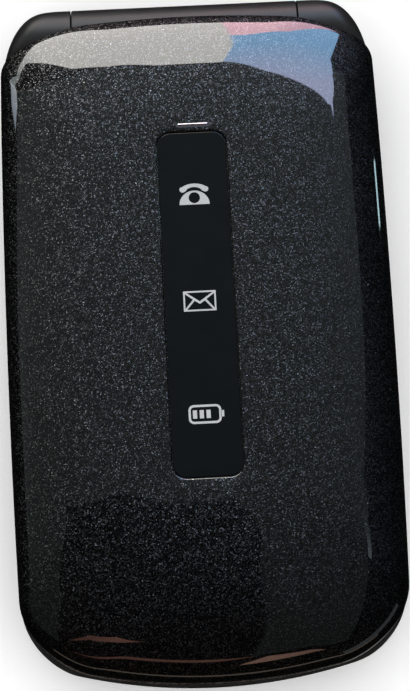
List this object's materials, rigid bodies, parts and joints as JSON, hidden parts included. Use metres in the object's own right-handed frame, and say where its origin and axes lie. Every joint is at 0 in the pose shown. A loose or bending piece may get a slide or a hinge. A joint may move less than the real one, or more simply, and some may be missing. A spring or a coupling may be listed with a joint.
{
  "type": "clamshell mobile phone",
  "caption": "Closed clamshell phone with a crowned gloss lid, a long dark status window, a barrel hinge, a large-key pad inside and a sliding battery cover.",
  "frame": {"origin": "middle of the outer box in X and Y, at the bottom: the back of the closed phone rests on Z = 0", "axes": "X across the phone, +Y along it towards the hinge end, +Z out of the lid's outer face"},
  "size_m": [0.055, 0.099, 0.0195],
  "materials": {
    "cover_paint": "black paint with fine light metallic flake under a clear gloss coat",
    "window": "polished dark smoked panel",
    "light_guide": "milky",
    "metal_trim": "bright satin",
    "nav_trim": "silver paint, satin",
    "dark_plastic": "satin black with a fine grain",
    "key_plastic": "silver-grey, satin",
    "call_green": "green, satin",
    "end_red": "red, satin",
    "screen": "polished dark panel",
    "board_green": "solder mask, semi-gloss",
    "steel": "plain",
    "brass": "plain",
    "rubber": "matt",
    "mesh_cloth": "woven",
    "battery_label": "printed film",
    "flex_amber": "polyimide film"
  },
  "bodies": {
    "base": {"base_front_housing": "dark_plastic", "base_rear_housing": "dark_plastic", "main_board": "board_green", "keypad_sheet": "rubber", "sim_holder": "steel", "shield_can": "steel", "battery_contacts": "brass", "loudspeaker": "steel", "microphone": "steel", "antenna": "brass", "battery": "battery_label", "camera_module": "dark_plastic", "camera_window": "window", "vibration_motor": "steel", "usb_port": "steel", "base_screw_1": "steel", "base_screw_2": "steel", "base_screw_3": "steel", "base_screw_4": "steel", "hinge_cam_shaft": "steel", "hinge_pivot_pin": "steel"},
    "lid": {"lid_outer_cover": "cover_paint", "icon_window": "window", "icon_light_guide": "light_guide", "call_light_bar": "metal_trim", "lid_inner_frame": "dark_plastic", "display_lens": "screen", "display_module": "steel", "lid_circuit_board": "board_green", "earpiece_speaker": "steel", "earpiece_mesh": "mesh_cloth", "closing_magnet": "steel", "lid_bumper_left": "rubber", "lid_bumper_right": "rubber", "lid_screw_left": "steel", "lid_screw_right": "steel", "hinge_cartridge": "steel", "lid_flex_cable": "flex_amber"},
    "battery_cover": {"battery_cover": "dark_plastic"},
    "volume_rocker": {"volume_rocker": "key_plastic"},
    "nav_rocker": {"nav_rocker": "nav_trim"},
    "motor_weight": {"motor_weight": "brass"},
    "soft_key_left": {"soft_key_left": "key_plastic"},
    "soft_key_right": {"soft_key_right": "key_plastic"},
    "call_key": {"call_key": "call_green"},
    "end_key": {"end_key": "end_red"},
    "key_1": {"key_1": "key_plastic"},
    "key_2": {"key_2": "key_plastic"},
    "key_3": {"key_3": "key_plastic"},
    "key_4": {"key_4": "key_plastic"},
    "key_5": {"key_5": "key_plastic"},
    "key_6": {"key_6": "key_plastic"},
    "key_7": {"key_7": "key_plastic"},
    "key_8": {"key_8": "key_plastic"},
    "key_9": {"key_9": "key_plastic"},
    "key_star": {"key_star": "key_plastic"},
    "key_0": {"key_0": "key_plastic"},
    "key_hash": {"key_hash": "key_plastic"}
  },
  "joints": [
    {"name": "lid_hinge", "type": "hinge", "parent": "base", "child": "lid", "pos_m": [0, 0.0451, 0.0112], "axis": [-1, 0, 0], "range_deg": [0, 160]},
    {"name": "battery_cover_slide", "type": "slide", "parent": "base", "child": "battery_cover", "axis": [0, -1, 0], "range_m": [0, 0.004]},
    {"name": "volume_rocker_tilt", "type": "hinge", "parent": "base", "child": "volume_rocker", "pos_m": [0.026, 0.0192, 0.0079], "axis": [0, 0, 1], "range_deg": [-2, 2], "stiffness_Nm_per_rad": 0.2},
    {"name": "nav_rocker_tilt", "type": "hinge", "parent": "base", "child": "nav_rocker", "pos_m": [0, 0.026, 0.00905], "axis": [1, 0, 0], "range_deg": [-1.4, 1.4], "stiffness_Nm_per_rad": 0.4},
    {"name": "motor_weight_spin", "type": "hinge", "parent": "base", "child": "motor_weight", "pos_m": [0.0163, 0.025, 0.0036], "axis": [1, 0, 0], "continuous": true},
    {"name": "soft_key_left_press", "type": "slide", "parent": "base", "child": "soft_key_left", "axis": [0, 0, -1], "range_m": [0, 0.00035], "stiffness_N_per_m": 600},
    {"name": "soft_key_right_press", "type": "slide", "parent": "base", "child": "soft_key_right", "axis": [0, 0, -1], "range_m": [0, 0.00035], "stiffness_N_per_m": 600},
    {"name": "call_key_press", "type": "slide", "parent": "base", "child": "call_key", "axis": [0, 0, -1], "range_m": [0, 0.00035], "stiffness_N_per_m": 600},
    {"name": "end_key_press", "type": "slide", "parent": "base", "child": "end_key", "axis": [0, 0, -1], "range_m": [0, 0.00035], "stiffness_N_per_m": 600},
    {"name": "key_1_press", "type": "slide", "parent": "base", "child": "key_1", "axis": [0, 0, -1], "range_m": [0, 0.00035], "stiffness_N_per_m": 600},
    {"name": "key_2_press", "type": "slide", "parent": "base", "child": "key_2", "axis": [0, 0, -1], "range_m": [0, 0.00035], "stiffness_N_per_m": 600},
    {"name": "key_3_press", "type": "slide", "parent": "base", "child": "key_3", "axis": [0, 0, -1], "range_m": [0, 0.00035], "stiffness_N_per_m": 600},
    {"name": "key_4_press", "type": "slide", "parent": "base", "child": "key_4", "axis": [0, 0, -1], "range_m": [0, 0.00035], "stiffness_N_per_m": 600},
    {"name": "key_5_press", "type": "slide", "parent": "base", "child": "key_5", "axis": [0, 0, -1], "range_m": [0, 0.00035], "stiffness_N_per_m": 600},
    {"name": "key_6_press", "type": "slide", "parent": "base", "child": "key_6", "axis": [0, 0, -1], "range_m": [0, 0.00035], "stiffness_N_per_m": 600},
    {"name": "key_7_press", "type": "slide", "parent": "base", "child": "key_7", "axis": [0, 0, -1], "range_m": [0, 0.00035], "stiffness_N_per_m": 600},
    {"name": "key_8_press", "type": "slide", "parent": "base", "child": "key_8", "axis": [0, 0, -1], "range_m": [0, 0.00035], "stiffness_N_per_m": 600},
    {"name": "key_9_press", "type": "slide", "parent": "base", "child": "key_9", "axis": [0, 0, -1], "range_m": [0, 0.00035], "stiffness_N_per_m": 600},
    {"name": "key_star_press", "type": "slide", "parent": "base", "child": "key_star", "axis": [0, 0, -1], "range_m": [0, 0.00035], "stiffness_N_per_m": 600},
    {"name": "key_0_press", "type": "slide", "parent": "base", "child": "key_0", "axis": [0, 0, -1], "range_m": [0, 0.00035], "stiffness_N_per_m": 600},
    {"name": "key_hash_press", "type": "slide", "parent": "base", "child": "key_hash", "axis": [0, 0, -1], "range_m": [0, 0.00035], "stiffness_N_per_m": 600}
  ]
}
